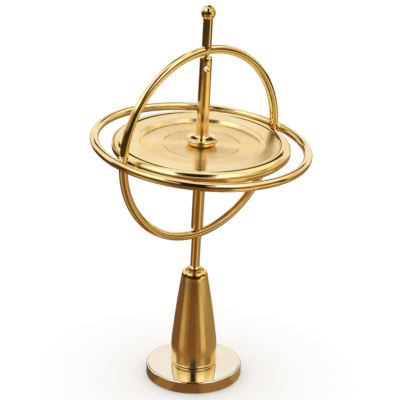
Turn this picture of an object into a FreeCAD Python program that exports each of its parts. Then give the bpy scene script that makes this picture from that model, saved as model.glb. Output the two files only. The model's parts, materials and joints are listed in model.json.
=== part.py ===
import FreeCAD, Part

import math
import os

import Sketcher

# Gyroscope spinning top on its pedestal stand, in millimetres.
# The origin is the centre of the base disc's underside, +Z is up, and the upright wire ring lies
# in the XZ plane. The gyroscope balances on its lower ball in the cup of the stand, and leans
# from upright towards -Y.

doc = FreeCAD.newDocument("gyroscope_top")

# ---------------------------------------------------------------- driving dimensions

DIMENSIONS = [
    # stand
    ("base_radius", 14.8, "base disc"),
    ("base_thickness", 4.3, "base disc"),
    ("base_edge_round", 0.35, "rounding of both rims of the base disc"),
    ("pivot_height", 35.0, "floor to the lip of the cup, which is the centre of the lower ball"),
    ("barrel_radius", 7.05, "straight foot of the pedestal"),
    ("barrel_length", 5.2, "straight foot of the pedestal above the base disc"),
    ("foot_round", 1.0, "rounding of the pedestal's bottom edge"),
    ("knee_length", 3.5, "arc that joins the straight foot to the taper"),
    ("knee_draw", 0.2, "how far the knee draws in"),
    ("knee_bow", 0.045, "bulge of the knee"),
    ("taper_bow", 0.14, "bulge of the tapered flank"),
    ("shoulder_draw", 0.38, "how far the shoulder draws in"),
    ("shoulder_drop", 1.05, "lip down to the bottom of the shoulder"),
    ("shoulder_bow", 0.12, "bulge of the shoulder"),
    ("lip_width", 0.77, "flat lip round the cup"),
    ("cup_margin", 0.7, "mouth of the dished cup out from the ball"),
    ("stud_radius", 1.5, "threaded stud that joins the pedestal to the base disc"),
    ("stud_floor", 1.5, "base disc left under the stud"),
    ("stud_depth_cone", 7.0, "stud in the pedestal"),
    ("stud_chamfer", 0.3, "ends of the stud"),
    ("stud_end_gap", 0.3, "free depth over the stud in the pedestal"),
    # gyroscope frame
    ("lean_angle", 3.35, "lean of the gyroscope's axis from upright, degrees"),
    ("lower_post_reach", 10.97, "upright ring to the lower ball's centre"),
    ("upper_post_reach", 9.97, "upright ring to the upper ball's centre"),
    ("wire_radius", 1.31, "wire of both rings"),
    ("belt_radius", 31.69, "centre line of the horizontal ring"),
    ("belt_tilt", 2.6, "horizontal ring out of square with the axle, degrees"),
    ("belt_heading", -46.0, "side to which the horizontal ring's axis tips, degrees from +X"),
    ("braze_gap", 0.05, "gap between the two wires, filled by the braze"),
    ("braze_bead", 0.39, "bead of braze at a crossing, beyond the wire's radius"),
    ("post_radius", 1.45, "posts above and below the rings"),
    ("post_ear", 0.65, "how far the post's foot reaches down beside the wire"),
    ("post_braze_foot", 0.55, "foot of the braze collar out from the post"),
    ("post_braze_brim", 0.03, "top of the braze collar out from the post"),
    ("post_braze_height", 1.0, "braze collar above the wire"),
    ("ball_radius", 2.15, "balls on both ends"),
    ("ball_gap", 0.04, "running gap round the lower ball"),
    ("slot_width", 1.4, "string slot across the upper ball"),
    ("slot_floor", 0.1, "upper ball's centre up to the slot's floor"),
    # bearings
    ("fit_gap", 0.01, "radial gap of a seated pin in its hole"),
    ("pivot_radius", 0.45, "hardened pivot pin"),
    ("pivot_seat", 2.0, "pivot pin's length inside the axle"),
    ("pivot_cone", 0.55, "length of the pivot pin's point"),
    ("pivot_entry", 0.5, "how far the point reaches into the bearing"),
    ("dimple_margin", 0.15, "mouth of the conical bearing seat out from the pivot pin"),
    ("dimple_gap", 0.12, "pivot's point to the bottom of the bearing seat"),
    ("bearing_wall", 0.3, "bearing round the mouth of its seat"),
    ("bearing_floor", 0.78, "bearing beyond the bottom of its seat"),
    # rotor
    ("axle_radius", 1.83, "axle"),
    ("axle_end_gap", 0.45, "axle's end to the ring"),
    ("axle_chamfer", 0.3, "ends of the axle"),
    ("string_hole_radius", 0.95, "cross hole for the starting string"),
    ("string_hole_cover", 0.35, "axle left between the pivot pin and the cross hole"),
    ("string_hole_turn", -113.0, "heading of the cross hole, degrees from +X"),
    ("wheel_drop", 0.5, "middle of the flywheel below the centre of the rings"),
    ("wheel_gap", 1.21, "flywheel's rim to the inside of the upright ring"),
    ("band_half", 1.0, "half the height of the straight band round the rim"),
    ("band_step", 0.22, "step from the band in to the bead"),
    ("bead_width", 2.88, "rounded bead between the band and the flat annulus"),
    ("bead_bow", 0.72, "bulge of the rounded bead"),
    ("annulus_half", 1.75, "half the flywheel's thickness at the flat annulus"),
    ("annulus_width", 4.7, "flat annulus"),
    ("recess_slope", 0.3, "lean of the recess wall"),
    ("web_half", 0.6, "half the thickness of the web"),
    ("groove_radius", 11.4, "turned groove in the web"),
    ("groove_half_width", 0.2, "turned groove in the web"),
    ("groove_depth", 0.12, "turned groove in the web"),
    ("sleeve_wall", 0.87, "hub sleeve round the axle"),
    ("hub_height", 1.9, "hub's shoulder above the web"),
    ("hub_step", 0.7, "shoulder of the hub out from its sleeve"),
    ("hub_spread", 1.5, "foot of the hub out from its shoulder"),
    ("hub_bow", 0.12, "bulge of the hub's flank"),
    ("hub_rise", 0.15, "rise of the hub's top towards the axle"),
    ("collar_floor", 0.5, "lower hub half past the end of the sleeve"),
    ("neck_foot", 0.62, "foot of the hub's neck out from the axle"),
    ("neck_wall", 0.14, "hub's neck wall at the axle"),
    ("neck_height", 0.65, "hub's neck above its top"),
    ("neck_bow", 0.13, "hollow of the hub's neck"),
]

dims = doc.addObject("Spreadsheet::Sheet", "dims")
for row, (alias, value, note) in enumerate(DIMENSIONS, start=1):
    dims.set("A%d" % row, alias)
    dims.set("B%d" % row, str(value))
    dims.set("C%d" % row, note)
    dims.setAlias("B%d" % row, alias)
doc.recompute()


class Size:
    """A length that carries both its number and the spreadsheet formula it comes from."""

    def __init__(self, text, value):
        self.text = text
        self.value = value

    def __add__(self, other):
        return Size("(%s + %s)" % (self.text, text_of(other)), self.value + value_of(other))

    def __sub__(self, other):
        return Size("(%s - %s)" % (self.text, text_of(other)), self.value - value_of(other))

    def __mul__(self, other):
        return Size("(%s * %s)" % (self.text, text_of(other)), self.value * value_of(other))

    def __truediv__(self, other):
        return Size("(%s / %s)" % (self.text, text_of(other)), self.value / value_of(other))

    def __neg__(self):
        return Size("(-1 * %s)" % self.text, -self.value)


def text_of(size):
    return size.text if isinstance(size, Size) else str(size)


def value_of(size):
    return size.value if isinstance(size, Size) else size


def bow_radius(width, height, bulge):
    """Radius of the arc over a chord that spans width by height and bulges by bulge."""
    return (width * width + height * height) / (bulge * 8) + bulge / 2


class Sizes:
    """The driving dimensions by name."""


size = Sizes()
for alias, value, note in DIMENSIONS:
    setattr(size, alias, Size("dims." + alias, value))

ZERO = 0.0

# ---------------------------------------------------------------- sizes that follow from others

ball_seat = size.ball_radius + size.ball_gap
cup_radius = size.ball_radius + size.cup_margin
stud_hole = size.stud_radius + size.fit_gap

ring_radius = size.belt_radius - size.wire_radius * 2 - size.braze_gap
ring_inside = ring_radius - size.wire_radius
ring_outside = ring_radius + size.wire_radius
lower_reach = ring_outside + size.lower_post_reach
upper_reach = ring_outside + size.upper_post_reach

dimple_radius = size.pivot_radius + size.dimple_margin
dimple_depth = size.pivot_entry + size.dimple_gap
bearing_radius = dimple_radius + size.bearing_wall
bearing_length = dimple_depth + size.bearing_floor

axle_bore = size.axle_radius + size.fit_gap
axle_end = ring_inside - size.axle_end_gap
sleeve_radius = size.axle_radius + size.sleeve_wall
sleeve_bore = sleeve_radius + size.fit_gap
sleeve_tail = size.hub_height - size.collar_floor
wheel_radius = ring_inside - size.wheel_gap

# ---------------------------------------------------------------- placing and building helpers

FLAT = "rotation(vector(0; 0; 1); 0)"
UPRIGHT = "placement(vector(0; 0; 0); %s)" % FLAT
GYRO = (
    "placement(vector(0; 0; dims.pivot_height); rotation(vector(1; 0; 0); dims.lean_angle))"
    " * placement(vector(0; 0; %s); %s)" % (lower_reach.text, FLAT)
)
FLIP = " * placement(vector(0; 0; 0); rotation(vector(1; 0; 0); 180))"
BELT = GYRO + (
    " * placement(vector(0; 0; 0);"
    " rotation(vector(-sin(dims.belt_heading * 1 deg); cos(dims.belt_heading * 1 deg); 0);"
    " dims.belt_tilt))"
)
RING = GYRO + " * placement(vector(0; 0; 0); rotation(vector(1; 0; 0); 90))"


def lifted(along):
    """Placement text for a move along the gyroscope's axis."""
    return " * placement(vector(0; 0; %s); %s)" % (text_of(along), FLAT)


def bind(thing, path, length):
    thing.setExpression(path, text_of(length))


def primitive(kind, name, place, **lengths):
    """A Part primitive whose sizes and place follow the spreadsheet."""
    thing = doc.addObject("Part::" + kind, name)
    for path, length in lengths.items():
        bind(thing, path, length)
    thing.setExpression("Placement", place)
    return thing


def cut(name, base, tool):
    thing = doc.addObject("Part::Cut", name)
    thing.Base = base
    thing.Tool = tool
    return thing


def fuse(name, base, tool):
    thing = doc.addObject("Part::Fuse", name)
    thing.Base = base
    thing.Tool = tool
    return thing


def origin_plane(body, role):
    return [feature for feature in body.Origin.OriginFeatures if feature.Role == role][0]


def pin_vertex(sketch, edge, end, across, along):
    """Hold one profile vertex at its radius and height."""
    for kind, length, axis in (("DistanceX", across, -2), ("DistanceY", along, -1)):
        if value_of(length) == 0:
            sketch.addConstraint(Sketcher.Constraint("PointOnObject", edge, end, axis))
        else:
            index = sketch.addConstraint(
                Sketcher.Constraint(kind, -1, 1, edge, end, value_of(length))
            )
            bind(sketch, "Constraints[%d]" % index, length)


def arc_middle(start, finish, radius, side):
    """Middle point of the shorter arc from start to finish; side 1 bulges left of the way."""
    chord = finish - start
    sagitta = radius - math.sqrt(max(radius**2 - chord.Length**2 / 4, 0))
    left = FreeCAD.Vector(-chord.y, chord.x, 0).normalize()
    return (start + finish) / 2 + left * sagitta * side


def draw_profile(sketch, profile):
    """Closed outline of (radius, height) vertices; a third and fourth item make the edge that
    arrives there an arc of that radius, bulging to that side."""
    points = [FreeCAD.Vector(value_of(vertex[0]), value_of(vertex[1]), 0) for vertex in profile]
    ends = []
    for index, vertex in enumerate(profile):
        start = points[index - 1]
        finish = points[index]
        if len(vertex) == 2:
            edge = sketch.addGeometry(Part.LineSegment(start, finish))
            ends.append((edge, 1, 2))
            continue
        radius, side = vertex[2], vertex[3]
        middle = arc_middle(start, finish, value_of(radius), side)
        edge = sketch.addGeometry(Part.Arc(start, middle, finish))
        ends.append((edge, 2, 1) if side > 0 else (edge, 1, 2))
        constraint = sketch.addConstraint(Sketcher.Constraint("Radius", edge, value_of(radius)))
        bind(sketch, "Constraints[%d]" % constraint, radius)
    for index, (edge, first, last) in enumerate(ends):
        following, following_first, _ = ends[(index + 1) % len(ends)]
        sketch.addConstraint(
            Sketcher.Constraint("Coincident", edge, last, following, following_first)
        )
        pin_vertex(sketch, edge, last, profile[index][0], profile[index][1])


def turned_body(name, place, profile):
    """A piece turned on a lathe: the profile swept once round the piece's own Z axis."""
    body = doc.addObject("PartDesign::Body", name)
    sketch = body.newObject("Sketcher::SketchObject", name + "_profile")
    sketch.AttachmentSupport = [(origin_plane(body, "XZ_Plane"), "")]
    sketch.MapMode = "FlatFace"
    draw_profile(sketch, profile)
    turn = body.newObject("PartDesign::Revolution", name + "_turned")
    turn.Profile = sketch
    turn.ReferenceAxis = (sketch, ["V_Axis"])
    turn.Angle = 360
    body.setExpression("Placement", place)
    return body


subparts = {}


def keep(name, thing):
    thing.Label = name
    subparts[name] = thing


# ---------------------------------------------------------------- stand


def make_base_disc():
    """Heavy round disc with a blind threaded hole for the stud in the middle of its top."""
    outer = size.base_radius
    edge = size.base_edge_round
    top = size.base_thickness
    profile = [
        (ZERO, ZERO),
        (outer - edge, ZERO),
        (outer, edge, edge, -1),
        (outer, top - edge),
        (outer - edge, top, edge, -1),
        (stud_hole, top),
        (stud_hole, size.stud_floor),
        (ZERO, size.stud_floor),
    ]
    keep("base_disc", turned_body("base_disc", UPRIGHT, profile))


def make_stand_cone():
    """Tapered pedestal: straight foot, gently bowed flank, shoulder, flat lip and dished cup."""
    foot = size.base_thickness
    foot_round = size.foot_round
    barrel = size.barrel_radius
    barrel_top = foot + size.barrel_length
    knee = barrel - size.knee_draw
    knee_top = barrel_top + size.knee_length
    lip = size.pivot_height
    lip_radius = cup_radius + size.lip_width
    shoulder = lip - size.shoulder_drop
    shoulder_radius = lip_radius + size.shoulder_draw
    cup_sphere = (cup_radius * cup_radius + ball_seat * ball_seat) / (ball_seat * 2)
    hole_top = foot + size.stud_depth_cone + size.stud_end_gap
    knee_arc = bow_radius(size.knee_draw, size.knee_length, size.knee_bow)
    taper_arc = bow_radius(knee - shoulder_radius, shoulder - knee_top, size.taper_bow)
    shoulder_arc = bow_radius(size.shoulder_draw, size.shoulder_drop, size.shoulder_bow)
    profile = [
        (stud_hole, foot),
        (barrel - foot_round, foot),
        (barrel, foot + foot_round, foot_round, -1),
        (barrel, barrel_top),
        (knee, knee_top, knee_arc, -1),
        (shoulder_radius, shoulder, taper_arc, -1),
        (lip_radius, lip, shoulder_arc, -1),
        (cup_radius, lip),
        (ZERO, lip - ball_seat, cup_sphere, 1),
        (ZERO, hole_top),
        (stud_hole, hole_top),
    ]
    keep("stand_cone", turned_body("stand_cone", UPRIGHT, profile))


def make_stand_stud():
    """Hidden stud, drawn without its thread, that screws the pedestal to the base disc."""
    bottom = size.stud_floor
    top = size.base_thickness + size.stud_depth_cone
    side = size.stud_radius
    slope = size.stud_chamfer
    profile = [
        (ZERO, bottom),
        (side - slope, bottom),
        (side, bottom + slope),
        (side, top - slope),
        (side - slope, top),
        (ZERO, top),
    ]
    keep("stand_stud", turned_body("stand_stud", UPRIGHT, profile))


# ---------------------------------------------------------------- gyroscope frame


def make_rings():
    """Two rings of round wire. The upright ring has cross holes at its poles for the posts and
    the bearings. The horizontal ring just encloses it and is brazed to it at two crossings."""
    hoop = primitive(
        "Torus", "ring_hoop", RING, Radius1=ring_radius, Radius2=size.wire_radius
    )
    reach = ring_outside + size.wire_radius
    drill = primitive(
        "Cylinder",
        "ring_drill",
        GYRO + lifted(-reach),
        Radius=bearing_radius + size.fit_gap,
        Height=reach * 2,
    )
    keep("vertical_ring", cut("vertical_ring", hoop, drill))
    belt = primitive(
        "Torus", "horizontal_ring", BELT, Radius1=size.belt_radius, Radius2=size.wire_radius
    )
    keep("horizontal_ring", belt)
    return hoop, belt


def make_ring_braze(name, side, hoop, belt):
    """Bead of braze that fills the notch where the two wires cross."""
    crossing = "atan(tan(dims.belt_tilt * 1 deg) * cos(dims.belt_heading * 1 deg))"
    contact = (ring_outside + size.braze_gap / 2) * side
    place = (
        GYRO
        + " * placement(vector(0; 0; 0); rotation(vector(0; 1; 0); %s))" % crossing
        + " * placement(vector(%s; 0; 0); %s)" % (contact.text, FLAT)
    )
    bead = primitive("Sphere", name + "_bead", place, Radius=size.wire_radius + size.braze_bead)
    trimmed = cut(name + "_trimmed", bead, hoop)
    keep(name, cut(name, trimmed, belt))


def make_post(name, flip, hoop, reach, ball_space):
    """Post with a spigot through the ring, a saddle on the wire and a seat for its ball."""
    foot = ring_outside - size.post_ear
    place = GYRO + flip
    shaft = primitive(
        "Cylinder",
        name + "_shaft",
        place + lifted(foot),
        Radius=size.post_radius,
        Height=reach - foot,
    )
    ball = primitive("Sphere", name + "_seat", place + lifted(reach), Radius=ball_space)
    spigot_foot = ring_inside + bearing_length
    spigot = primitive(
        "Cylinder",
        name + "_spigot",
        place + lifted(spigot_foot),
        Radius=bearing_radius,
        Height=ring_outside + size.post_ear - spigot_foot,
    )
    saddled = cut(name + "_saddled", shaft, hoop)
    seated = cut(name + "_seated", saddled, ball)
    keep(name, fuse(name, seated, spigot))


def make_post_braze(name, flip, hoop):
    """Tapered collar of braze at the foot of a post."""
    foot = ring_outside - size.post_ear
    place = GYRO + flip + lifted(foot)
    height = size.post_ear + size.post_braze_height
    collar = primitive(
        "Cone",
        name + "_collar",
        place,
        Radius1=size.post_radius + size.post_braze_foot,
        Radius2=size.post_radius + size.post_braze_brim,
        Height=height,
    )
    shaft = primitive(
        "Cylinder", name + "_shaft", place, Radius=size.post_radius, Height=height
    )
    hollow = cut(name + "_hollow", collar, shaft)
    keep(name, cut(name, hollow, hoop))


def make_upper_ball():
    """Ball with a slot right across it, in which the gyroscope rides on a taut string."""
    centre = GYRO + lifted(upper_reach)
    ball = primitive("Sphere", "upper_ball_round", centre, Radius=size.ball_radius)
    span = size.ball_radius * 2 + size.slot_width
    corner = " * placement(vector(%s; %s; %s); %s)" % (
        text_of(size.slot_width / -2),
        text_of(span / -2),
        text_of(size.slot_floor),
        FLAT,
    )
    slot = primitive(
        "Box", "upper_ball_slot", centre + corner, Length=size.slot_width, Width=span, Height=span
    )
    keep("upper_ball", cut("upper_ball", ball, slot))


def make_lower_ball():
    """Plain ball that turns in the cup of the stand."""
    place = "placement(vector(0; 0; dims.pivot_height); %s)" % FLAT
    keep("lower_ball", primitive("Sphere", "lower_ball", place, Radius=size.ball_radius))


def make_bearing(name, flip):
    """Hardened bush with a conical seat, pressed into the wire from the inside of the ring."""
    outer = ring_inside + bearing_length
    profile = [
        (dimple_radius, ring_inside),
        (bearing_radius, ring_inside),
        (bearing_radius, outer),
        (ZERO, outer),
        (ZERO, ring_inside + dimple_depth),
    ]
    keep(name, turned_body(name, GYRO + flip, profile))


# ---------------------------------------------------------------- rotor

WHEEL = GYRO + lifted(-size.wheel_drop)


def make_flywheel():
    """Die-cast wheel, the same above and below: web, flat annulus, rounded bead, straight band."""
    web = size.web_half
    groove = size.groove_radius
    half_groove = size.groove_half_width
    annulus = size.annulus_half
    band = size.band_half
    bead_outer = wheel_radius - size.band_step
    annulus_outer = bead_outer - size.bead_width
    recess = annulus_outer - size.annulus_width
    bead = bow_radius(size.bead_width, annulus - band, size.bead_bow)
    profile = [
        (sleeve_bore, -web),
        (groove - half_groove, -web),
        (groove, -web + size.groove_depth),
        (groove + half_groove, -web),
        (recess - size.recess_slope, -web),
        (recess, -annulus),
        (annulus_outer, -annulus),
        (bead_outer, -band, bead, -1),
        (wheel_radius, -band),
        (wheel_radius, band),
        (bead_outer, band),
        (annulus_outer, annulus, bead, -1),
        (recess, annulus),
        (recess - size.recess_slope, web),
        (groove + half_groove, web),
        (groove, web - size.groove_depth),
        (groove - half_groove, web),
        (sleeve_bore, web),
    ]
    keep("flywheel", turned_body("flywheel", WHEEL, profile))


def hub_outline():
    """Outside of a hub half from its foot on the web to its mouth at the axle."""
    foot = size.web_half
    shoulder = foot + size.hub_height
    shoulder_radius = sleeve_radius + size.hub_step
    top = shoulder + size.hub_rise
    mouth = top + size.neck_height
    flank = bow_radius(size.hub_spread, size.hub_height, size.hub_bow)
    neck = bow_radius(size.neck_foot - size.neck_wall, size.neck_height, size.neck_bow)
    return [
        (shoulder_radius + size.hub_spread, foot),
        (shoulder_radius, shoulder, flank, -1),
        (axle_bore + size.neck_foot, top),
        (axle_bore + size.neck_wall, mouth, neck, 1),
        (axle_bore, mouth),
    ]


def make_hub_sleeve():
    """Upper half of the hub, with the sleeve that carries the wheel on the axle."""
    tail = -size.web_half - sleeve_tail
    profile = hub_outline() + [
        (axle_bore, tail),
        (sleeve_radius, tail),
        (sleeve_radius, size.web_half),
    ]
    keep("hub_sleeve", turned_body("hub_sleeve", WHEEL, profile))


def make_hub_collar():
    """Lower half of the hub, pressed over the sleeve's tail against the underside of the web."""
    floor = size.web_half + sleeve_tail
    profile = hub_outline() + [
        (axle_bore, floor),
        (sleeve_bore, floor),
        (sleeve_bore, size.web_half),
    ]
    keep("hub_collar", turned_body("hub_collar", WHEEL + FLIP, profile))


def make_axle():
    """Axle with a blind pivot hole in each end and a cross hole for the starting string."""
    side = size.axle_radius
    slope = size.axle_chamfer
    pin = size.pivot_radius + size.fit_gap
    floor = axle_end - size.pivot_seat
    profile = [
        (ZERO, -floor),
        (pin, -floor),
        (pin, -axle_end),
        (side - slope, -axle_end),
        (side, -axle_end + slope),
        (side, axle_end - slope),
        (side - slope, axle_end),
        (pin, axle_end),
        (pin, floor),
        (ZERO, floor),
    ]
    rod = turned_body("axle_rod", GYRO, profile)
    reach = side * 2
    string_hole = floor - size.string_hole_cover - size.string_hole_radius
    across = (
        " * placement(vector(0; 0; 0); rotation(vector(0; 0; 1); dims.string_hole_turn))"
        " * placement(vector(-1 * %s; 0; 0); rotation(vector(0; 1; 0); 90))" % reach.text
    )
    drill = primitive(
        "Cylinder",
        "axle_drill",
        GYRO + lifted(string_hole) + across,
        Radius=size.string_hole_radius,
        Height=reach * 2,
    )
    keep("axle", cut("axle", rod, drill))


def make_pivot(name, flip):
    """Hardened pin in the axle's end, whose point turns in the bearing."""
    side = size.pivot_radius
    tip = ring_inside + size.pivot_entry
    profile = [
        (ZERO, axle_end - size.pivot_seat),
        (side, axle_end - size.pivot_seat),
        (side, tip - size.pivot_cone),
        (ZERO, tip),
    ]
    keep(name, turned_body(name, GYRO + flip, profile))


# ---------------------------------------------------------------- assembly and export

make_base_disc()
make_stand_cone()
make_stand_stud()
ring_hoop, ring_belt = make_rings()
make_ring_braze("ring_braze_front", -1, ring_hoop, ring_belt)
make_ring_braze("ring_braze_rear", 1, ring_hoop, ring_belt)
make_post("upper_post", "", ring_hoop, upper_reach, size.ball_radius)
make_post("lower_post", FLIP, ring_hoop, lower_reach, ball_seat)
make_post_braze("upper_post_braze", "", ring_hoop)
make_post_braze("lower_post_braze", FLIP, ring_hoop)
make_upper_ball()
make_lower_ball()
make_bearing("upper_bearing", "")
make_bearing("lower_bearing", FLIP)
make_flywheel()
make_hub_sleeve()
make_hub_collar()
make_axle()
make_pivot("upper_pivot", "")
make_pivot("lower_pivot", FLIP)
doc.recompute()

for thing in doc.Objects:
    faults = [state for state in thing.State if state in ("Invalid", "Error")]
    if faults:
        raise RuntimeError("%s is %s" % (thing.Name, faults))

os.makedirs("parts", exist_ok=True)
for name, thing in subparts.items():
    shape = thing.Shape
    if shape.isNull() or not shape.isValid():
        raise RuntimeError("%s has no valid shape" % name)
    shape.exportStep("parts/%s.step" % name)
    print("%-18s solids %d  volume %9.2f mm3" % (name, len(shape.Solids), shape.Volume))
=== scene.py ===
# %% [markdown]
# # A gold gyroscope balanced on its stand
#
# This lesson dresses a finished mechanical model. The frame that it loads already holds every part
# at its real size and place, so nothing here measures or moves the mechanism. What is added is what
# the eye looks for on plated brass: edges that are broken by polishing, braze that has flowed
# between two wires, tool marks left by the lathe, and surroundings worth reflecting.

# %% Load the frame
import json
import math

import bpy
from mathutils import Matrix, Vector


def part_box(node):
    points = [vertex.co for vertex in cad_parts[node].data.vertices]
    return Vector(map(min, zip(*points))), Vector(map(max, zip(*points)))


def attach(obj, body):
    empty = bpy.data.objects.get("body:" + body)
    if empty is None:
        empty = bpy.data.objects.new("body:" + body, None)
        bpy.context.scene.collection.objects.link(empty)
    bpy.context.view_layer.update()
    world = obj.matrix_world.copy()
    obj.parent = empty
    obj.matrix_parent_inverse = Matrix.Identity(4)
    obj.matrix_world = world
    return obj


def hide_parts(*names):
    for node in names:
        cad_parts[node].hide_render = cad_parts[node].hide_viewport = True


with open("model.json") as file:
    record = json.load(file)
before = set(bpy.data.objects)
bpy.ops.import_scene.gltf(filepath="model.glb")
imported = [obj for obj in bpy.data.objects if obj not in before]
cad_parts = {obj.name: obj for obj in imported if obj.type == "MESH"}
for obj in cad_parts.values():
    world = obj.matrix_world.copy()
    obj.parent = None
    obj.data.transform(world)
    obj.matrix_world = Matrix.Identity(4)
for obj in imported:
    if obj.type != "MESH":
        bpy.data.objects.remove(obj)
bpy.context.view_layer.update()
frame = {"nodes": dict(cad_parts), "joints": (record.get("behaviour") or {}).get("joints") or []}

MM = 0.001

# %% [markdown]
# ## Where things are
#
# A gyroscope leans, so its wheel doesn't lie flat in the world. It is far easier to turn a wheel on
# a lathe that stands upright and then carry the finished wheel to its place. The frame says where
# that place is: the spin joint gives the middle of the rings and the direction of the axle. A
# matrix made from those two carries a piece from the lathe to the gyroscope. The wheel and its hub
# sit a little off the middle of the rings, so they have a matrix of their own.

# %% Read the places from the frame
spin = next(joint for joint in frame["joints"] if joint["name"] == "flywheel_spin")
RING_CENTRE = Vector(spin["pos_m"])
AXLE_LINE = Vector(spin["axis"]).normalized()

LEAN_ANGLE = Vector((0, 0, 1)).angle(AXLE_LINE)
TO_GYRO = Matrix.Translation(RING_CENTRE) @ Matrix.Rotation(LEAN_ANGLE, 4, "X")


def reach(node, end):
    """How far a node reaches along the axle from the middle of the rings."""
    corners = [vertex.co for vertex in frame["nodes"][node].data.vertices]
    along = [(corner - RING_CENTRE).dot(AXLE_LINE) for corner in corners]
    return max(along) if end > 0 else min(along)


def girth(node):
    """The largest distance of a node from the axle's line."""
    corners = [vertex.co - RING_CENTRE for vertex in frame["nodes"][node].data.vertices]
    return max((corner - AXLE_LINE * corner.dot(AXLE_LINE)).length for corner in corners)


WHEEL_RADIUS = girth("flywheel")
WHEEL_MIDDLE = (reach("flywheel", 1) + reach("flywheel", -1)) / 2
WHEEL_PLACE = TO_GYRO @ Matrix.Translation((0, 0, WHEEL_MIDDLE))
AXLE_RADIUS = girth("axle")
AXLE_END = reach("axle", 1)
POST_RADIUS = girth("upper_post")
BASE_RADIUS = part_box("base_disc")[1].x
BASE_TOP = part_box("base_disc")[1].z
LIP_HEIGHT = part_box("stand_cone")[1].z
CONE_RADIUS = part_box("stand_cone")[1].x
print("wheel radius %.2f mm, axle end %.2f mm" % (WHEEL_RADIUS / MM, AXLE_END / MM))
print("lean %.2f degrees" % math.degrees(LEAN_ANGLE))

# %% [markdown]
# ## The camera
#
# The product is seen from a little above, with a long lens, so that the rings stay nearly true
# ellipses. The camera is placed by an azimuth, an elevation and a distance from the point that it
# looks at, as a tripod is set up in a studio, and is rolled by less than a degree.

# %% Camera
LOOK_AT = Vector((1.035, -0.881, 57.91)) * MM
AZIMUTH = math.radians(-40.4)
ELEVATION = math.radians(20.94)
ROLL = math.radians(0.735)
DISTANCE = 450 * MM
FIELD = math.radians(15.23446)
NEAREST = 10 * MM

towards_camera = Vector(
    (
        math.sin(AZIMUTH) * math.cos(ELEVATION),
        -math.cos(AZIMUTH) * math.cos(ELEVATION),
        math.sin(ELEVATION),
    )
)
camera_data = bpy.data.cameras.new("camera")
camera_data.angle = FIELD
camera_data.clip_start = NEAREST
camera = bpy.data.objects.new("camera", camera_data)
bpy.context.scene.collection.objects.link(camera)
camera.location = LOOK_AT + towards_camera * DISTANCE
camera.rotation_euler = (
    towards_camera.to_track_quat("Z", "Y").to_matrix() @ Matrix.Rotation(ROLL, 3, "Z")
).to_euler()
bpy.context.scene.camera = camera
print("camera at", [round(value / MM) for value in camera.location])


# %% [markdown]
# ## Turning a piece on a lathe
#
# Nearly every part of this object is turned, so the first helper is a lathe. One vertex is set down
# where the outline begins and is extruded from corner to corner, which draws half of the section.
# Spin then sweeps that line once round the upright axis. A Bevel modifier breaks every sharp edge
# by a few hundredths of a millimetre, as a polishing wheel does, and Weighted Normal keeps the
# large faces flat between those bevels. On mirror-bright metal both matter more than on any other
# finish, because a knife edge catches no light, and a face that isn't flat bends what it reflects.

# %% Lathe helpers
WELD = 0.002 * MM
QUARTER_BULGE = 1 - math.sqrt(0.5)  # of a quarter circle of radius 1, over its chord


def deselect():
    if bpy.context.object and bpy.context.object.mode != "OBJECT":
        bpy.ops.object.mode_set(mode="OBJECT")
    bpy.ops.object.select_all(action="DESELECT")


def take(piece):
    """Make one piece the only selected one."""
    deselect()
    piece.select_set(True)
    bpy.context.view_layer.objects.active = piece
    return piece


def bow(start, end, bulge, steps):
    """Corners along an arc from start to end, which bulges to the left of the way by bulge."""
    (r0, z0), (r1, z1) = start, end
    half = math.hypot(r1 - r0, z1 - z0) / 2
    radius = (half * half + bulge * bulge) / (2 * abs(bulge))
    sweep = 2 * math.asin(half / radius)
    corners = []
    for step in range(1, steps + 1):
        turn = sweep * (step / steps - 0.5)
        along = 0.5 + radius * math.sin(turn) / (2 * half)
        lift = (radius * math.cos(turn) - radius * math.cos(sweep / 2)) * (1 if bulge > 0 else -1)
        corners.append(
            (
                r0 + (r1 - r0) * along - (z1 - z0) / (2 * half) * lift,
                z0 + (z1 - z0) * along + (r1 - r0) / (2 * half) * lift,
            )
        )
    return corners


def modify(piece, kind, **settings):
    """Add one modifier, set it and apply it."""
    take(piece)
    modifier = piece.modifiers.new(kind.lower(), kind)
    for name, value in settings.items():
        setattr(modifier, name, value)
    bpy.ops.object.modifier_apply(modifier=modifier.name)


def break_edges(piece, width, sharper_than, segments=3):
    modify(
        piece,
        "BEVEL",
        width=width,
        segments=segments,
        limit_method="ANGLE",
        angle_limit=math.radians(sharper_than),
        use_clamp_overlap=True,
    )


def polish(piece, smooth_below):
    take(piece)
    bpy.ops.object.shade_smooth_by_angle(angle=math.radians(smooth_below))
    modify(piece, "WEIGHTED_NORMAL", keep_sharp=True, weight=80)


def turned(name, outline, sides):
    """A piece turned about the upright axis from the corners of half its section, in mm."""
    deselect()
    bpy.ops.mesh.primitive_plane_add(size=MM)
    piece = bpy.context.object
    piece.name = piece.data.name = name
    bpy.ops.object.mode_set(mode="EDIT")
    bpy.ops.mesh.select_all(action="SELECT")
    bpy.ops.mesh.merge(type="CENTER")
    r0, z0 = outline[0]
    bpy.ops.transform.translate(value=(r0 * MM, 0, z0 * MM))
    for (r0, z0), (r1, z1) in zip(outline, outline[1:]):
        step = ((r1 - r0) * MM, 0, (z1 - z0) * MM)
        bpy.ops.mesh.extrude_vertices_move(TRANSFORM_OT_translate={"value": step})
    bpy.ops.mesh.select_all(action="SELECT")
    bpy.ops.mesh.spin(steps=sides, angle=2 * math.pi, center=(0, 0, 0), axis=(0, 0, 1))
    bpy.ops.mesh.select_all(action="SELECT")
    bpy.ops.mesh.remove_doubles(threshold=WELD)
    bpy.ops.mesh.normals_make_consistent(inside=False)
    bpy.ops.object.mode_set(mode="OBJECT")
    return piece


def carry(piece, place):
    """Carry a finished piece from the lathe to its place and leave its object at the origin."""
    take(piece)
    piece.matrix_world = place
    bpy.ops.object.transform_apply(location=True, rotation=True, scale=True)
    return piece


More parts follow.
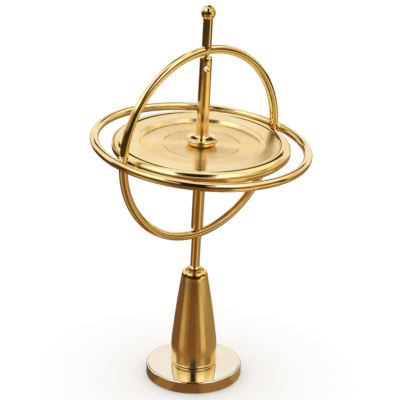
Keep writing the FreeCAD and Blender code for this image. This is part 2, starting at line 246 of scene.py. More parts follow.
def tell(piece):
    """Print how many faces a piece has, and its box in millimetres."""
    corners = [vertex.co / MM for vertex in piece.data.vertices]
    low = [round(min(corner[axis] for corner in corners), 2) for axis in range(3)]
    high = [round(max(corner[axis] for corner in corners), 2) for axis in range(3)]
    faces = len(piece.data.polygons)
    print("%-20s %6d faces, %s to %s mm" % (piece.name, faces, low, high))


# %% [markdown]
# ## The stand
#
# The stand is two turnings: a thick disc with a polished face, and a tapered pedestal that screws
# onto it. A bought cone would do for a stand-in, but the real pedestal has a short straight foot, a
# knee, a flank that bows out a little, and a shoulder under the flat lip of the cup, and each of
# these bends the reflections in its own way. So both are turned from their true outlines.

# %% Base disc
STUD_HOLE = 1.51
STUD_FLOOR = 1.5
RIM_ROUND = 0.6
DOME = 0.42
DOME_START = 6.5
DOME_BOW = -0.09


def make_base_disc():
    rim, top = BASE_RADIUS / MM, BASE_TOP / MM
    corner = RIM_ROUND * QUARTER_BULGE
    outline = [(0, 0), (rim - RIM_ROUND, 0)]
    outline += bow(outline[-1], (rim, RIM_ROUND), -corner, 8)
    outline += [(rim, top - DOME - RIM_ROUND)]
    outline += bow(outline[-1], (rim - RIM_ROUND, top - DOME), -corner, 8)
    outline += bow(outline[-1], (DOME_START, top), DOME_BOW, 12)
    outline += [(STUD_HOLE, top), (STUD_HOLE, STUD_FLOOR), (0, STUD_FLOOR)]
    disc = turned("base_plate", outline, sides=224)
    polish(disc, 80)
    return disc


base_plate = make_base_disc()
tell(base_plate)

# %% Pedestal
CUP_RADIUS = 2.85
LIP_RADIUS = 3.42
SHOULDER = (4.12, 2.2)
BROW = (3.87, 0.75)
BARREL_LENGTH = 5.2
KNEE = (0.2, 3.5)
FOOT_ROUND = 1.0
STUD_ROOM = 7.3
BALL_SEAT = 2.19
KNEE_BOW = -0.045
FLANK_BOW = -0.14
SHOULDER_BOW = -0.03
BROW_BOW = -0.063
PEDESTAL_BREAK = 0.07 * MM


def make_pedestal():
    foot, lip, barrel = BASE_TOP / MM, LIP_HEIGHT / MM, CONE_RADIUS / MM
    shoulder = (SHOULDER[0], lip - SHOULDER[1])
    brow = (BROW[0], lip - BROW[1])
    knee = (barrel - KNEE[0], foot + BARREL_LENGTH + KNEE[1])
    corner = FOOT_ROUND * QUARTER_BULGE
    outline = [(STUD_HOLE, foot), (barrel - FOOT_ROUND, foot)]
    outline += bow(outline[-1], (barrel, foot + FOOT_ROUND), -corner, 8)
    outline += [(barrel, foot + BARREL_LENGTH)]
    outline += bow(outline[-1], knee, KNEE_BOW, 8)
    outline += bow(knee, shoulder, FLANK_BOW, 24)
    outline += bow(shoulder, brow, SHOULDER_BOW, 6)
    outline += bow(brow, (LIP_RADIUS, lip), BROW_BOW, 12)
    outline += [(CUP_RADIUS, lip)]
    sphere = (CUP_RADIUS**2 + BALL_SEAT**2) / (2 * BALL_SEAT)
    sag = sphere - math.sqrt(sphere**2 - (CUP_RADIUS**2 + BALL_SEAT**2) / 4)
    outline += bow(outline[-1], (0, lip - BALL_SEAT), sag, 16)
    outline += [(0, foot + STUD_ROOM), (STUD_HOLE, foot + STUD_ROOM), (STUD_HOLE, foot)]
    pedestal = turned("pedestal", outline, sides=192)
    break_edges(pedestal, PEDESTAL_BREAK, sharper_than=28)
    polish(pedestal, 80)
    return pedestal


pedestal = make_pedestal()
tell(pedestal)

# %% [markdown]
# ## The flywheel
#
# The wheel is die-cast and then turned: a thin web, a flat ring round it, a rounded bead and a
# straight band at the rim. The lathe leaves fine rings on the web. The widest of them are cut into
# the outline itself, as shallow V grooves, so they are real in the mesh, and the finest come later
# as a bump in the material. The hub is made apart, because on the real wheel it is a pressed sleeve:
# a rounded flange on a narrower foot, which shows a dark line where it meets the web.

# %% Flywheel
SLEEVE_BORE = 2.71
WEB_HALF = 0.6
BAND_HALF = 0.75
BAND_STEP = 0.22
BEAD_WIDTH = 3.4
BEAD_BOW = 0.76
ANNULUS_WIDTH = 4.18
ANNULUS_HALF = 1.75
RECESS_SLOPE = 0.75
RECESS_FILLET = 0.5
RECESS_TOE = 0.25
RECESS_BOW = -0.06
WALL_TOP = (0.15, 0.12)
WALL_ROLL = 0.2
WALL_BOW = 0.05
WHEEL_BREAK = 0.07 * MM
DEEP_GROOVE = (11.4, 0.2, 0.12)
TOOL_MARKS = [(6.2 + 0.55 * mark, 0.17, 0.045) for mark in range(9)]


def wheel_face():
    """Upper half of the section, from the bore out to the middle of the band."""
    rim = WHEEL_RADIUS / MM
    bead_outer = rim - BAND_STEP
    annulus_outer = bead_outer - BEAD_WIDTH
    recess = annulus_outer - ANNULUS_WIDTH
    face = [(SLEEVE_BORE, 0), (SLEEVE_BORE, WEB_HALF)]
    for radius, half_width, depth in TOOL_MARKS + [DEEP_GROOVE]:
        face += [
            (radius - half_width, WEB_HALF),
            (radius, WEB_HALF - depth),
            (radius + half_width, WEB_HALF),
        ]
    foot = (recess - RECESS_SLOPE, WEB_HALF + RECESS_TOE)
    face += [(foot[0] - RECESS_FILLET, WEB_HALF)]
    face += bow(face[-1], foot, RECESS_BOW, 6)
    face += [(recess - WALL_TOP[0], ANNULUS_HALF - WALL_TOP[1])]
    face += bow(face[-1], (recess + WALL_ROLL, ANNULUS_HALF), WALL_BOW, 5)
    face += [(annulus_outer, ANNULUS_HALF)]
    face += bow(face[-1], (bead_outer, BAND_HALF), BEAD_BOW, 16)
    face += [(rim, BAND_HALF), (rim, 0)]
    return face


def make_flywheel():
    upper = wheel_face()
    lower = [(radius, -height) for radius, height in reversed(upper)]
    wheel = turned("turned_flywheel", upper + lower[1:], sides=256)
    break_edges(wheel, WHEEL_BREAK, sharper_than=28, segments=2)
    polish(wheel, 70)
    return carry(wheel, WHEEL_PLACE)


flywheel = make_flywheel()
tell(flywheel)

# %% Hub halves
AXLE_BORE = 1.84
SLEEVE = 2.70
SLEEVE_TAIL = 1.4
HUB_FOOT = 3.5
HUB_CURVES = [
    # where each curve ends (radius, height over the web), its bulge and its number of steps
    ((4.78, 1.55), -0.2, 10),
    ((4.3, 2.2), -0.13, 8),
    ((2.75, 2.6), 0.06, 6),
    ((1.98, 3.25), 0.14, 8),
]
HUB_BREAK = 0.12 * MM


def hub_outline():
    """A rounded flange that overhangs its foot, with a neck that sweeps up onto the axle."""
    outline = [(HUB_FOOT, WEB_HALF)]
    for (radius, height), bulge, steps in HUB_CURVES:
        outline += bow(outline[-1], (radius, WEB_HALF + height), bulge, steps)
    return outline + [(AXLE_BORE, outline[-1][1])]


def make_hub(name, tail, turn):
    hub = turned(name, hub_outline() + tail + [(HUB_FOOT, WEB_HALF)], sides=128)
    break_edges(hub, HUB_BREAK, sharper_than=25)
    polish(hub, 80)
    return carry(hub, WHEEL_PLACE @ turn)


tail_end = -WEB_HALF - SLEEVE_TAIL
upper_hub = make_hub(
    "hub_with_sleeve",
    [(AXLE_BORE, tail_end), (SLEEVE, tail_end), (SLEEVE, WEB_HALF)],
    Matrix.Identity(4),
)
lower_hub = make_hub(
    "hub_pressed_collar",
    [(AXLE_BORE, -tail_end), (SLEEVE_BORE, -tail_end), (SLEEVE_BORE, WEB_HALF)],
    Matrix.Rotation(math.pi, 4, "X"),
)
tell(upper_hub)
tell(lower_hub)

# %% [markdown]
# ## The axle and its string hole
#
# The axle is a plain rod with a small chamfer at each end and a blind hole for each pivot. The hole
# across its upper end, where the starting string is pushed through, is drilled with a Boolean.
# Drilling leaves a sharp rim, and a string would fray on it, so the rim is broken with a bevel.

# %% Axle
PIVOT_HOLE = 0.46
PIVOT_SEAT = 2.0
AXLE_CHAMFER = 0.3
STRING_HOLE = 0.95
STRING_HOLE_DROP = 3.3
STRING_HOLE_TURN = math.radians(-113)
AXLE_BREAK = 0.1 * MM


def make_axle():
    side, end = AXLE_RADIUS / MM, AXLE_END / MM
    half = [
        (side, 0),
        (side, end - AXLE_CHAMFER),
        (side - AXLE_CHAMFER, end),
        (PIVOT_HOLE, end),
        (PIVOT_HOLE, end - PIVOT_SEAT),
        (0, end - PIVOT_SEAT),
    ]
    lower = [(radius, -height) for radius, height in reversed(half)]
    axle = turned("drilled_axle", lower + half[1:], sides=96)
    deselect()
    bpy.ops.mesh.primitive_cylinder_add(
        vertices=64,
        radius=STRING_HOLE * MM,
        depth=4 * AXLE_RADIUS,
        location=(0, 0, AXLE_END - STRING_HOLE_DROP * MM),
        rotation=(0, math.pi / 2, STRING_HOLE_TURN),
    )
    drill = bpy.context.object
    modify(axle, "BOOLEAN", object=drill, operation="DIFFERENCE", solver="EXACT")
    bpy.data.objects.remove(drill)
    break_edges(axle, AXLE_BREAK, sharper_than=35)
    polish(axle, 50)
    return carry(axle, TO_GYRO)


axle = make_axle()
tell(axle)

# %% [markdown]
# ## The upper ball
#
# The ball on top is slotted right across, so that the gyroscope can ride on a taut string. It is
# turned as a sphere with a small neck that flows onto the post, and then a rounded block is cut out
# of it. The two lobes that are left have soft edges from polishing.

# %% Upper ball
BALL_RADIUS = 2.15
SLOT_WIDTH = 1.4
SLOT_FLOOR = 0.1
NECK_DROP = 2.55
NECK_RADIUS = 1.47
NECK_MEET = math.radians(-52)
NECK_BOW = 0.07
BALL_STEPS = 26
BALL_BREAK = 0.12 * MM


def on_ball(turn):
    return BALL_RADIUS * math.cos(turn), BALL_RADIUS * math.sin(turn)


def make_upper_ball():
    outline = [(0, -NECK_DROP), (NECK_RADIUS, -NECK_DROP)]
    outline += bow(outline[-1], on_ball(NECK_MEET), NECK_BOW, 4)
    for step in range(1, BALL_STEPS + 1):
        outline.append(on_ball(NECK_MEET + (math.pi / 2 - NECK_MEET) * step / BALL_STEPS))
    ball = turned("slotted_ball", outline, sides=96)
    deselect()
    tall = 2 * BALL_RADIUS
    bpy.ops.mesh.primitive_cube_add(size=MM, location=(0, 0, (SLOT_FLOOR + tall / 2) * MM))
    cutter = bpy.context.object
    bpy.ops.object.mode_set(mode="EDIT")
    bpy.ops.transform.resize(value=(SLOT_WIDTH, 3 * BALL_RADIUS, tall))
    bpy.ops.object.mode_set(mode="OBJECT")
    modify(ball, "BOOLEAN", object=cutter, operation="DIFFERENCE", solver="EXACT")
    bpy.data.objects.remove(cutter)
    break_edges(ball, BALL_BREAK, sharper_than=35)
    polish(ball, 50)
    return ball


ball_reach = reach("upper_post", 1) + math.sqrt((BALL_RADIUS * MM) ** 2 - POST_RADIUS**2)
upper_ball = carry(make_upper_ball(), TO_GYRO @ Matrix.Translation((0, 0, ball_reach)))
print("ball centre %.2f mm up the axle" % (ball_reach / MM))
tell(upper_ball)

# %% [markdown]
# ## Braze
#
# Where two wires cross, molten braze runs into the notch between them and sets as a smooth, hollow
# fillet. Modelling that curve by hand is slow. It comes almost by itself from a remesh: short
# lengths of the two wires and a bead are joined, turned into one even skin, and smoothed. Smoothing
# fills hollows and shrinks what stands proud, so the skin sinks inside the wires and shows only
# where the fillet is.

# %% Braze helper
WIRE = 1.31 * MM
SKIN = 0.1 * MM
SINK = 0.02 * MM
ALONG_WIRE = TO_GYRO.to_3x3() @ Vector((1, 0, 0))


def bar(centre, direction, radius, length):
    deselect()
    turn = direction.to_track_quat("Z", "Y").to_euler()
    bpy.ops.mesh.primitive_cylinder_add(
        vertices=48, radius=radius, depth=length, location=centre, rotation=turn
    )
    return bpy.context.object


def bead(centre, radius):
    deselect()
    bpy.ops.mesh.primitive_ico_sphere_add(subdivisions=4, radius=radius, location=centre)
    return bpy.context.object


def flow_braze(name, pieces, rounds):
    """Melt the pieces into one skin and let it settle."""
    deselect()
    for piece in pieces:
        piece.select_set(True)
    bpy.context.view_layer.objects.active = pieces[0]
    bpy.ops.object.join()
    braze = bpy.context.object
    braze.name = braze.data.name = name
    bpy.ops.object.transform_apply(location=True, rotation=True, scale=True)
    modify(braze, "REMESH", mode="VOXEL", voxel_size=SKIN, adaptivity=0)
    modify(braze, "SMOOTH", factor=0.5, iterations=rounds)
    bpy.ops.object.shade_smooth()
    return braze


# %% Braze where the rings cross
CROSSING_LENGTH = 3.4 * MM
CROSSING_BEAD = 1.45 * MM
CROSSING_ROUNDS = 22


def make_ring_braze(name, node, side):
    low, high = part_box(node)
    middle = (low + high) / 2
    across = ALONG_WIRE * side
    inner = middle - across * (WIRE + SINK)
    outer = middle + across * (WIRE + SINK)
    forward = TO_GYRO.to_3x3() @ Vector((0, 1, 0))
    pieces = [
        bar(inner, AXLE_LINE, WIRE - SINK, CROSSING_LENGTH),
        bar(outer, forward, WIRE - SINK, CROSSING_LENGTH),
        bead(middle, CROSSING_BEAD),
    ]
    return flow_braze(name, pieces, CROSSING_ROUNDS)


front_braze = make_ring_braze("braze_fillet_front", "ring_braze_front", -1)
rear_braze = make_ring_braze("braze_fillet_rear", "ring_braze_rear", 1)
tell(front_braze)
tell(rear_braze)

# %% Braze at the foot of each post
COLLAR_SINK = 0.07 * MM
COLLAR_LENGTH = 3.6 * MM
COLLAR_HEIGHT = 3.2 * MM
COLLAR_BEAD = 1.62 * MM
COLLAR_RISE = 0.75 * MM
COLLAR_ROUNDS = 20


def make_post_braze(name, end):
    up = AXLE_LINE * end
    wire = RING_CENTRE + up * (abs(reach("vertical_ring", end)) - WIRE)
    pieces = [
        bar(wire, ALONG_WIRE, WIRE - COLLAR_SINK, COLLAR_LENGTH),
        bar(wire + up * (COLLAR_HEIGHT / 2), up, POST_RADIUS - SINK, COLLAR_HEIGHT),
        bead(wire + up * COLLAR_RISE, COLLAR_BEAD),
    ]
    return flow_braze(name, pieces, COLLAR_ROUNDS)


upper_post_fillet = make_post_braze("braze_fillet_top", 1)
lower_post_fillet = make_post_braze("braze_fillet_bottom", -1)
tell(upper_post_fillet)
tell(lower_post_fillet)

# %% [markdown]
# ## What rides on what
#
# The stand stays on the table. The upper ball and the braze belong to the ring frame, and the wheel,
# its hub and its axle spin inside that frame. Each new piece takes the place of the plain part that
# it was turned to match.

# %% Ride and replace
def fit(piece, body, finish, *nodes):
    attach(piece, body)
    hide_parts(*nodes)


fit(base_plate, "stand", "base_plate_gold", "base_disc")
fit(pedestal, "stand", "pedestal_gold", "stand_cone")
fit(upper_ball, "frame", "ball_gold", "upper_ball")
fit(front_braze, "frame", "braze_gold", "ring_braze_front")
fit(rear_braze, "frame", "braze_gold", "ring_braze_rear")
fit(upper_post_fillet, "frame", "braze_gold", "upper_post_braze")
fit(lower_post_fillet, "frame", "braze_gold", "lower_post_braze")
fit(flywheel, "rotor", "flywheel_gold", "flywheel")
fit(upper_hub, "rotor", "hub_gold", "hub_sleeve")
fit(lower_hub, "rotor", "hub_gold", "hub_collar")
fit(axle, "rotor", "axle_gold", "axle")

# %% [markdown]
# ## Node helpers
#
# A material is a small circuit of nodes. Wiring one by hand takes many lines, so a few helpers keep
# each circuit short enough to read: one adds a node and fills its sockets, from plain values or from
# another node's output, and the others do the sums that come up again and again.

# %% Node helpers
def node(tree, kind, inputs=(), **settings):
    made = tree.nodes.new(kind)
    for name, value in settings.items():
        setattr(made, name, value)
    for name, value in dict(inputs).items():
        socket = made.inputs[name]
        if isinstance(value, bpy.types.NodeSocket):
            tree.links.new(value, socket)
        elif socket.type == "RGBA":
            socket.default_value = (*value, 1)
        else:
            socket.default_value = value
    return made


def calc(tree, operation, first, second=0.0):
    return node(tree, "ShaderNodeMath", {0: first, 1: second}, operation=operation).outputs[0]


def dot(tree, vector, line):
    sides = {0: vector, 1: tuple(line)}
    return node(tree, "ShaderNodeVectorMath", sides, operation="DOT_PRODUCT").outputs["Value"]


def rise(tree, value, low, high):
    """0 below low, 1 above high, and a soft slope between."""
    inputs = {"Value": value, "From Min": low, "From Max": high}
    slope = node(tree, "ShaderNodeMapRange", inputs, interpolation_type="SMOOTHSTEP")
    return slope.outputs["Result"]


def between(tree, value, low, high, soft):
    """1 from low to high, and 0 outside, with soft ends."""
    over = rise(tree, value, low - soft / 2, low + soft / 2)
    past = rise(tree, value, high - soft / 2, high + soft / 2)
    return calc(tree, "SUBTRACT", over, past)


def blend(tree, share, first, second):
    colours = {"Factor": share, "A": first, "B": second}
    return node(tree, "ShaderNodeMix", colours, data_type="RGBA").outputs["Result"]


def blank(material):
    material.use_nodes = True
    material.node_tree.nodes.clear()
    return material.node_tree


# %% [markdown]
# ## The studio
#
# Polished gold has almost no colour of its own that a lamp can show. What is seen on it is the room,
# tinted. So the studio is made as a picture for the metal to reflect: a white tent, a low warm
# surround, a softbox on each side, black cloth in front with an opening above it, a narrow dark
# cloth on each side behind, and under the stand a floor that glows warm for reflections, with
# painted bright and dark patches in its glow. Lamps could do this too, but a softbox that is only a
# patch of the world has no noise and no hot spot. The eye sees a plain white tent and a plain pale
# floor, because the Light Path node keeps the rest for reflections.

# %% Headings round the object
TO_FRONT = Vector((math.sin(AZIMUTH), -math.cos(AZIMUTH), 0))
TO_RIGHT = Vector((math.cos(AZIMUTH), math.sin(AZIMUTH), 0))


def heading(tree, vector):
    """Degrees round the object: 0 in front, and growing to the right."""
    right = dot(tree, vector, TO_RIGHT)
    front = dot(tree, vector, TO_FRONT)
    return calc(tree, "MULTIPLY", calc(tree, "ARCTAN2", right, front), math.degrees(1))


# %% The tent
bpy.context.scene.view_settings.view_transform = "Standard"
TENT = (0.98, 0.97, 1.06)
SKIRTING = (0.30, 0.16, 0.06)
SKIRTING_TOP = (0.0, 9.0)
DAYLIGHT = 1.12
BLACK_CLOTH = (0.012, 0.008, 0.004)
DARK_CLOTH = (0.05, 0.02, 0.006)
PANELS = [
    # first and last heading, lowest and highest elevation, softness, colour.
    # Each panel hangs in front of the ones before it.
    ((-98, 98), (-20, 30), 7, (0.30, 0.155, 0.05)),
    ((-95, 95), (-20, 12), 7, (0.05, 0.028, 0.01)),
    ((98, 132), (-20, 34), 8, (0.80, 0.66, 0.42)),
    ((98, 140), (34, 60), 8, (1.25, 1.15, 0.98)),
    ((136, 190), (-20, 20), 8, (0.98, 0.95, 1.0)),
    ((-190, -128), (-20, 20), 8, (0.98, 0.95, 1.0)),
    ((34, 58), (12, 31), 6, (0.62, 0.44, 0.22)),
    ((-74, -48), (12, 31), 6, (0.50, 0.34, 0.17)),
    ((24, 62), (34, 64), 5, (1.50, 1.55, 1.80)),
    ((-80, -34), (34, 64), 5, (1.45, 1.48, 1.70)),
    ((147, 169), (26, 64), 4, DARK_CLOTH),
    ((-169, -147), (26, 64), 4, DARK_CLOTH),
    ((-17, 13), (-25, 55), 5, BLACK_CLOTH),
]
OPENING_HEADING = math.radians(-4)
OPENING_HEIGHT = math.radians(58)
OPENING_REACH = (math.cos(math.radians(23)), math.cos(math.radians(17)))


def make_tent():
    world = bpy.data.worlds.new("studio")
    bpy.context.scene.world = world
    tree = blank(world)
    towards = node(tree, "ShaderNodeTexCoord").outputs["Generated"]
    turn = heading(tree, towards)
    height = calc(tree, "ARCSINE", dot(tree, towards, (0, 0, 1)))
    height = calc(tree, "MULTIPLY", height, math.degrees(1))
    colour = blend(tree, rise(tree, height, *SKIRTING_TOP), SKIRTING, TENT)
    for turns, heights, soft, panel in PANELS:
        across = between(tree, turn, *turns, soft)
        up = between(tree, height, *heights, soft)
        colour = blend(tree, calc(tree, "MULTIPLY", across, up), colour, panel)
    level = TO_FRONT * math.cos(OPENING_HEADING) + TO_RIGHT * math.sin(OPENING_HEADING)
    opening = level * math.cos(OPENING_HEIGHT) + Vector((0, 0, math.sin(OPENING_HEIGHT)))
    hole = rise(tree, dot(tree, towards, opening), *OPENING_REACH)
    colour = blend(tree, hole, colour, BLACK_CLOTH)
    seen = node(tree, "ShaderNodeBackground", {"Color": (1, 1, 1), "Strength": DAYLIGHT})
    mirrored = node(tree, "ShaderNodeBackground", {"Color": colour})
    rays = node(tree, "ShaderNodeLightPath").outputs["Is Glossy Ray"]
    mix = {0: rays, 1: seen.outputs[0], 2: mirrored.outputs[0]}
    mixed = node(tree, "ShaderNodeMixShader", mix).outputs[0]
    node(tree, "ShaderNodeOutputWorld", {"Surface": mixed})


make_tent()
print("tent with", len(PANELS), "panels")

# %% The floor
FLOOR_RADIUS = 1.6
PAPER = ((0.95, 0.95, 0.95), (0.98, 0.98, 0.975))
# Under the stand the floor glows for reflected rays only: a warm painted glow with bright and dark
# patches, and no lit board.
GLOWING_BOARD = (0.32, 0.155, 0.05)
GLOW_FADE = (0.3, 0.9)
PATCH_SOFTNESS = 8
GLOWING_PATCHES = [
    # first and last heading, nearest and furthest distance in metres, softness in metres, colour.
    # Each patch of glow lies on the ones before it; the bright and dark patches are painted light
    # for the metal to reflect.
    ((-170, -60), (0.0, 0.17), 0.02, (0.19, 0.09, 0.035)),
    ((62, 170), (0.0, 0.17), 0.02, (0.36, 0.24, 0.11)),
    ((-30, 10), (0.0, 0.18), 0.02, (0.20, 0.085, 0.028)),
    ((34, 58), (0.03, 0.18), 0.012, (0.80, 0.58, 0.32)),
    ((-74, -48), (0.03, 0.18), 0.012, (0.60, 0.42, 0.21)),
    ((-30, 30), (0.19, 9), 0.03, (0.26, 0.11, 0.03)),
    ((-170, -30), (0.18, 9), 0.03, (0.05, 0.03, 0.012)),
    ((100, 170), (0.17, 0.28), 0.02, (0.42, 0.25, 0.09)),
    ((30, 100), (0.17, 0.275), 0.02, (0.98, 0.76, 0.42)),
    ((-190, 190), (0.28, 9), 0.02, (0.05, 0.034, 0.014)),
    ((135, 190), (0.3, 9), 0.05, (0.60, 0.46, 0.28)),
    ((-190, -135), (0.3, 9), 0.05, (0.60, 0.46, 0.28)),
    ((-76, -30), (0.215, 0.272), 0.02, (0.80, 0.56, 0.26)),
    ((52, 82), (0.24, 9), 0.02, (0.86, 0.70, 0.42)),
]


def floor_material():
    material = bpy.data.materials.new("pale_floor_glowing_for_reflections")
    tree = blank(material)
    place = node(tree, "ShaderNodeTexCoord").outputs["Object"]
    turn = heading(tree, place)
    far = node(tree, "ShaderNodeVectorMath", {0: place}, operation="LENGTH").outputs["Value"]
    colour = blend(tree, rise(tree, far, *GLOW_FADE), GLOWING_BOARD, SKIRTING)
    for turns, distances, soft, patch in GLOWING_PATCHES:
        across = between(tree, turn, *turns, PATCH_SOFTNESS)
        along = between(tree, far, *distances, soft)
        colour = blend(tree, calc(tree, "MULTIPLY", across, along), colour, patch)
    # Reflected rays see the floor glow with this painted picture, and all other rays see pale paper.
    floor_glow = node(tree, "ShaderNodeEmission", {"Color": colour}).outputs[0]
    speck = {"Vector": place, "Scale": 90.0, "Detail": 4.0}
    grain = node(tree, "ShaderNodeTexNoise", speck).outputs["Fac"]
    paper = blend(tree, grain, *PAPER)
    pale = node(tree, "ShaderNodeBsdfDiffuse", {"Color": paper}).outputs[0]
    rays = node(tree, "ShaderNodeLightPath").outputs["Is Glossy Ray"]
    mixed = node(tree, "ShaderNodeMixShader", {0: rays, 1: pale, 2: floor_glow}).outputs[0]
    node(tree, "ShaderNodeOutputMaterial", {"Surface": mixed})
    return material


deselect()
bpy.ops.mesh.primitive_circle_add(vertices=96, radius=FLOOR_RADIUS, fill_type="NGON")
floor = bpy.context.object
floor.name = "floor"
floor.data.materials.append(floor_material())

# %% [markdown]
# ## Groups that every finish shares
#
# Gold plating is never the same all over. It is a shade paler here and warmer there, the polishing
# wheel leaves a faint haze, and the skin undulates a little. The tools leave lines as well: rings
# round whatever was turned, and lines along a wire from the die it was drawn through. Each of these
# is a node group, built once, and every finish uses it with its own strength.

# %% Group helper
def make_group(name, sockets):
    group = bpy.data.node_groups.new(name, "ShaderNodeTree")
    kinds = {"vector": "NodeSocketVector", "colour": "NodeSocketColor", "value": "NodeSocketFloat"}
    for direction, socket, kind in sockets:
        group.interface.new_socket(socket, in_out=direction, socket_type=kinds[kind])
    given = group.nodes.new("NodeGroupInput")
    result = group.nodes.new("NodeGroupOutput")
    return group, given.outputs, result.inputs


# %% Plating
def make_plating():
    group, given, result = make_group(
        "plating",
        [
            ("INPUT", "Place", "vector"),
            ("INPUT", "Pale", "colour"),
            ("INPUT", "Warm", "colour"),
            ("INPUT", "Roughness", "value"),
            ("INPUT", "Haze", "value"),
            ("OUTPUT", "Colour", "colour"),
            ("OUTPUT", "Roughness", "value"),
            ("OUTPUT", "Height", "value"),
        ],
    )
    broad = {"Vector": given["Place"], "Scale": 130.0, "Detail": 2.0}
    clouds = node(group, "ShaderNodeTexNoise", broad).outputs["Fac"]
    narrow = {"Vector": given["Place"], "Scale": 1500.0, "Detail": 4.0, "Roughness": 0.6}
    wipes = node(group, "ShaderNodeTexNoise", narrow).outputs["Fac"]
    tone = blend(group, rise(group, clouds, 0.35, 0.65), given["Pale"], given["Warm"])
    haze = calc(group, "MULTIPLY", rise(group, wipes, 0.4, 0.75), given["Haze"])
    group.links.new(tone, result["Colour"])
    group.links.new(calc(group, "ADD", given["Roughness"], haze), result["Roughness"])
    group.links.new(clouds, result["Height"])
    return group


PLATING = make_plating()

# %% Tool marks
def make_turning_marks():
    """Rings round the upright axis: on a face they spread from the middle, on a side they stack."""
    group, given, result = make_group(
        "turning_marks",
        [
            ("INPUT", "Place", "vector"),
            ("INPUT", "Rings per metre", "value"),
            ("OUTPUT", "Height", "value"),
        ],
    )
    sides = node(group, "ShaderNodeSeparateXYZ", {0: given["Place"]}).outputs
    flat = node(group, "ShaderNodeCombineXYZ", {"X": sides["X"], "Y": sides["Y"]}).outputs[0]
    radius = node(group, "ShaderNodeVectorMath", {0: flat}, operation="LENGTH").outputs["Value"]
    travel = calc(group, "ADD", radius, sides["Z"])
    turns = calc(group, "MULTIPLY", travel, given["Rings per metre"])
    rings = {"W": turns, "Scale": 1.0, "Detail": 3.0, "Roughness": 0.6}
    marks = node(group, "ShaderNodeTexNoise", rings, noise_dimensions="1D").outputs["Fac"]
    group.links.new(marks, result["Height"])
    return group


def make_drawn_lines():
    """Lines along a ring of wire: they depend on the place in its section, and not along it."""
    group, given, result = make_group(
        "drawn_lines",
        [
            ("INPUT", "Place", "vector"),
            ("INPUT", "Lines per metre", "value"),
            ("OUTPUT", "Height", "value"),
        ],
    )
    sides = node(group, "ShaderNodeSeparateXYZ", {0: given["Place"]}).outputs
    flat = node(group, "ShaderNodeCombineXYZ", {"X": sides["X"], "Y": sides["Y"]}).outputs[0]
    radius = node(group, "ShaderNodeVectorMath", {0: flat}, operation="LENGTH").outputs["Value"]
    section = node(group, "ShaderNodeCombineXYZ", {"X": radius, "Y": sides["Z"]}).outputs[0]
    lines = {"Vector": section, "Scale": given["Lines per metre"], "Detail": 2.0}
    marks = node(group, "ShaderNodeTexNoise", lines, noise_dimensions="2D").outputs["Fac"]
    group.links.new(marks, result["Height"])
    return group


TURNING = make_turning_marks()
DRAWING = make_drawn_lines()
print("groups:", [group.name for group in bpy.data.node_groups])

# %% [markdown]
# ## The gold finishes
#
# All the finishes are one metal with a different last step: the base is buffed to a mirror, the
# pedestal is left satin by fine turning, and the web of the wheel is left as the lathe made it. One
# builder therefore makes them all. Turned metal has a look of its own, a fan of light across its
# rings, because light scatters across the grooves and not along them. Anisotropy on the shader gives
# that fan, once the Tangent socket is told which way the grooves run.

# %% Finish builder
GOLD = ((0.94, 0.77, 0.38), (0.93, 0.71, 0.29))
CHAMPAGNE = ((0.91, 0.84, 0.64), (0.89, 0.79, 0.55))
QUARTER_ROTATION = 0.25
STAND_PLACE = Matrix.Identity(4)


def lay_on(tree, middle):
    """The place of a point on the lathe, from its place on the object."""
    place = node(tree, "ShaderNodeTexCoord").outputs["Object"]
    mapping = {
        "Vector": place,
        "Location": middle.translation,
        "Rotation": middle.to_euler(),
    }
    return node(tree, "ShaderNodeMapping", mapping, vector_type="TEXTURE").outputs[0]


def groove_line(tree, middle):
    """The direction of the grooves at a point, round the axis of the lathe."""
    place = node(tree, "ShaderNodeTexCoord").outputs["Object"]
    offset = {0: place, 1: middle.translation}
    offset = node(tree, "ShaderNodeVectorMath", offset, operation="SUBTRACT").outputs[0]
    axis = tuple(middle.to_3x3() @ Vector((0, 0, 1)))
    around = {0: axis, 1: offset}
    around = node(tree, "ShaderNodeVectorMath", around, operation="CROSS_PRODUCT").outputs[0]
    turned_line = node(
        tree,
        "ShaderNodeVectorTransform",
        {0: around},
        vector_type="VECTOR",
        convert_from="OBJECT",
        convert_to="WORLD",
    )
    return turned_line.outputs[0]


def finish(name, middle, roughness, haze, marks, lines, depth, ripple, fan=0.0, colours=GOLD):
    """A metal finish. Depth and ripple are the heights of its marks and of its skin, in metres."""
    material = bpy.data.materials.new(name)
    tree = blank(material)
    place = lay_on(tree, middle)
    pale, warm = colours
    plate = {"Place": place, "Pale": pale, "Warm": warm, "Roughness": roughness, "Haze": haze}
    skin = node(tree, "ShaderNodeGroup", plate, node_tree=PLATING)
    tool = node(tree, "ShaderNodeGroup", {"Place": place, 1: lines}, node_tree=marks)
    rippled = node(tree, "ShaderNodeBump", {"Distance": ripple, "Height": skin.outputs["Height"]})
    marked = node(
        tree,
        "ShaderNodeBump",
        {"Distance": depth, "Height": tool.outputs["Height"], "Normal": rippled.outputs[0]},
    )
    metal = node(
        tree,
        "ShaderNodeBsdfPrincipled",
        {
            "Base Color": skin.outputs["Colour"],
            "Metallic": 1.0,
            "Roughness": skin.outputs["Roughness"],
            "Normal": marked.outputs[0],
        },
    )
    if fan:
        metal.inputs["Anisotropic"].default_value = fan
        metal.inputs["Anisotropic Rotation"].default_value = QUARTER_ROTATION
        tree.links.new(groove_line(tree, middle), metal.inputs["Tangent"])
    node(tree, "ShaderNodeOutputMaterial", {"Surface": metal.outputs[0]})
    return material


# %% The finishes
UM = 0.000001
LEVEL_RING_PLACE = Matrix.Translation(RING_CENTRE)
UPRIGHT_RING_PLACE = TO_GYRO @ Matrix.Rotation(math.pi / 2, 4, "X")
ROSE = ((0.95, 0.72, 0.32), (0.94, 0.66, 0.24))
STEEL = ((0.56, 0.55, 0.53), (0.50, 0.49, 0.48))

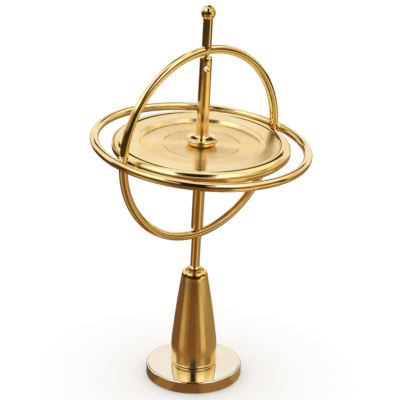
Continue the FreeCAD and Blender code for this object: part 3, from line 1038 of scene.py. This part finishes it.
mirror_base = finish(
    "mirror_base", STAND_PLACE, 0.03, 0.03, TURNING, 1500, 0.4 * UM, 8 * UM, colours=CHAMPAGNE
)
satin_pedestal = finish(
    "satin_pedestal", STAND_PLACE, 0.2, 0.04, TURNING, 5000, 2 * UM, 6 * UM, fan=0.6
)
bright_lip = finish("bright_lip", STAND_PLACE, 0.07, 0.05, TURNING, 3000, 1 * UM, 6 * UM)
level_wire = finish(
    "level_ring_wire", LEVEL_RING_PLACE, 0.05, 0.05, DRAWING, 2500, 1.2 * UM, 10 * UM
)
upright_wire = finish(
    "upright_ring_wire", UPRIGHT_RING_PLACE, 0.05, 0.05, DRAWING, 2500, 1.2 * UM, 10 * UM
)
post_rod = finish("post_rod", TO_GYRO, 0.08, 0.06, TURNING, 3000, 1.5 * UM, 8 * UM)
ball_polish = finish("ball_polish", TO_GYRO, 0.05, 0.05, TURNING, 2000, 0.6 * UM, 6 * UM)
braze_skin = finish("braze_skin", TO_GYRO, 0.14, 0.08, TURNING, 1200, 0.6 * UM, 24 * UM)
turned_web = finish(
    "turned_web", WHEEL_PLACE, 0.22, 0.04, TURNING, 1700, 12 * UM, 40 * UM, fan=0.9, colours=ROSE
)
turned_face = finish("turned_face", WHEEL_PLACE, 0.2, 0.01, TURNING, 2500, 1 * UM, 6 * UM, fan=0.85)
rim_polish = finish("rim_polish", WHEEL_PLACE, 0.08, 0.05, TURNING, 3000, 1.2 * UM, 8 * UM)
hub_polish = finish("hub_polish", WHEEL_PLACE, 0.1, 0.06, TURNING, 4000, 1.6 * UM, 5 * UM)
axle_rod = finish("axle_rod", TO_GYRO, 0.1, 0.06, TURNING, 4000, 2 * UM, 6 * UM)
hard_steel = finish("hard_steel", TO_GYRO, 0.2, 0.08, TURNING, 5000, 3 * UM, 4 * UM, colours=STEEL)
print("finishes:", len(bpy.data.materials))

# %% Finishes on the pieces
WEB_EDGE = 18.0 * MM
FACE_EDGE = 22.85 * MM
POLISHED_LIP = 2.3 * MM


def coat(piece, *materials):
    piece.data.materials.clear()
    for material in materials:
        piece.data.materials.append(material)


coat(base_plate, mirror_base)
coat(pedestal, satin_pedestal, bright_lip)
for face in pedestal.data.polygons:
    face.material_index = 1 if face.center.z > LIP_HEIGHT - POLISHED_LIP else 0
coat(upper_ball, ball_polish)
for fillet in (front_braze, rear_braze, upper_post_fillet, lower_post_fillet):
    coat(fillet, braze_skin)
for hub in (upper_hub, lower_hub):
    coat(hub, hub_polish)
coat(axle, axle_rod)
coat(flywheel, turned_web, turned_face, rim_polish)
for face in flywheel.data.polygons:
    offset = face.center - RING_CENTRE
    out = (offset - AXLE_LINE * offset.dot(AXLE_LINE)).length
    face.material_index = 0 if out < WEB_EDGE else 1 if out < FACE_EDGE else 2

NODE_FINISHES = {
    "horizontal_ring": level_wire,
    "vertical_ring": upright_wire,
    "upper_post": post_rod,
    "lower_post": post_rod,
    "lower_ball": ball_polish,
    "stand_stud": hard_steel,
    "upper_bearing": hard_steel,
    "lower_bearing": hard_steel,
    "upper_pivot": hard_steel,
    "lower_pivot": hard_steel,
}
for name, material in NODE_FINISHES.items():
    for slot in frame["nodes"][name].material_slots:
        slot.material = material
print("coated", len(NODE_FINISHES), "plain parts of the frame")
